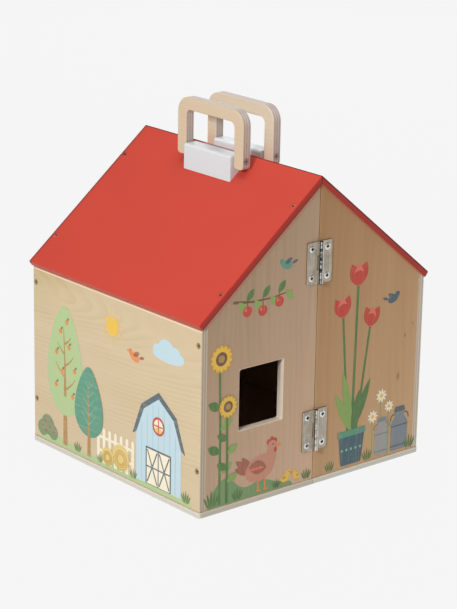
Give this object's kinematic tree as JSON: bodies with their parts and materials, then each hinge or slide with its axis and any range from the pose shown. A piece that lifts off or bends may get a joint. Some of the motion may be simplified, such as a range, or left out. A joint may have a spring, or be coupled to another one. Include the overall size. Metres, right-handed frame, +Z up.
{
  "type": "toy farmhouse carry case",
  "caption": "Wooden toy farmhouse that opens on a hinged gable like a book, with a pitched roof, a window and grab handles along the ridge.",
  "frame": {"origin": "on the table, in the middle of the closed case's footprint", "axes": "+X across the hinged gable to its right half, +Y from the hinged gable to the rear, +Z up"},
  "size_m": [0.2668, 0.2464, 0.3257],
  "materials": {
    "wall_ply": "sanded birch plywood, clear matt, printed",
    "base_ply": "sanded pale plywood, whitewashed",
    "handle_ply": "sanded birch plywood with eased edges",
    "roof_paint": "satin red paint on plywood",
    "block_paint": "satin white paint on wood",
    "hinge_steel": "nickel-plated pressed steel",
    "hinge_screw_steel": "bright nickel plate",
    "screw_steel": "zinc plate",
    "magnet_plating": "nickel plate"
  },
  "bodies": {
    "left_half": {"left_base": "base_ply", "left_side_wall": "wall_ply", "left_front_gable": "wall_ply", "left_rear_gable": "wall_ply", "left_roof": "roof_paint", "left_handle_block": "block_paint", "left_wall_screws": "screw_steel", "left_roof_screws": "screw_steel", "left_base_screws": "screw_steel", "left_block_screws": "screw_steel", "left_pivot_screws": "screw_steel", "left_hinge_screws": "hinge_screw_steel", "left_magnets": "magnet_plating", "lower_hinge_left_leaf": "hinge_steel", "lower_hinge_pin": "hinge_steel", "upper_hinge_left_leaf": "hinge_steel", "upper_hinge_pin": "hinge_steel"},
    "right_half": {"right_base": "base_ply", "right_side_wall": "wall_ply", "right_front_gable": "wall_ply", "right_rear_gable": "wall_ply", "right_roof": "roof_paint", "right_handle_block": "block_paint", "right_wall_screws": "screw_steel", "right_roof_screws": "screw_steel", "right_base_screws": "screw_steel", "right_block_screws": "screw_steel", "right_pivot_screws": "screw_steel", "right_hinge_screws": "hinge_screw_steel", "right_magnets": "magnet_plating", "lower_hinge_right_leaf": "hinge_steel", "upper_hinge_right_leaf": "hinge_steel"},
    "left_handle_body": {"left_handle": "handle_ply"},
    "right_handle_body": {"right_handle": "handle_ply"}
  },
  "joints": [
    {"name": "case_opening", "type": "hinge", "parent": "left_half", "child": "right_half", "pos_m": [0, -0.1209, 0.1], "axis": [0, 0, -1], "range_deg": [0, 180]},
    {"name": "left_handle_tilt", "type": "hinge", "parent": "left_half", "child": "left_handle_body", "pos_m": [-0.0174, 0.0041, 0.28079], "axis": [0, -1, 0], "range_deg": [-14, 130]},
    {"name": "right_handle_tilt", "type": "hinge", "parent": "right_half", "child": "right_handle_body", "pos_m": [0.0174, 0.0041, 0.28079], "axis": [0, 1, 0], "range_deg": [-14, 130]}
  ]
}
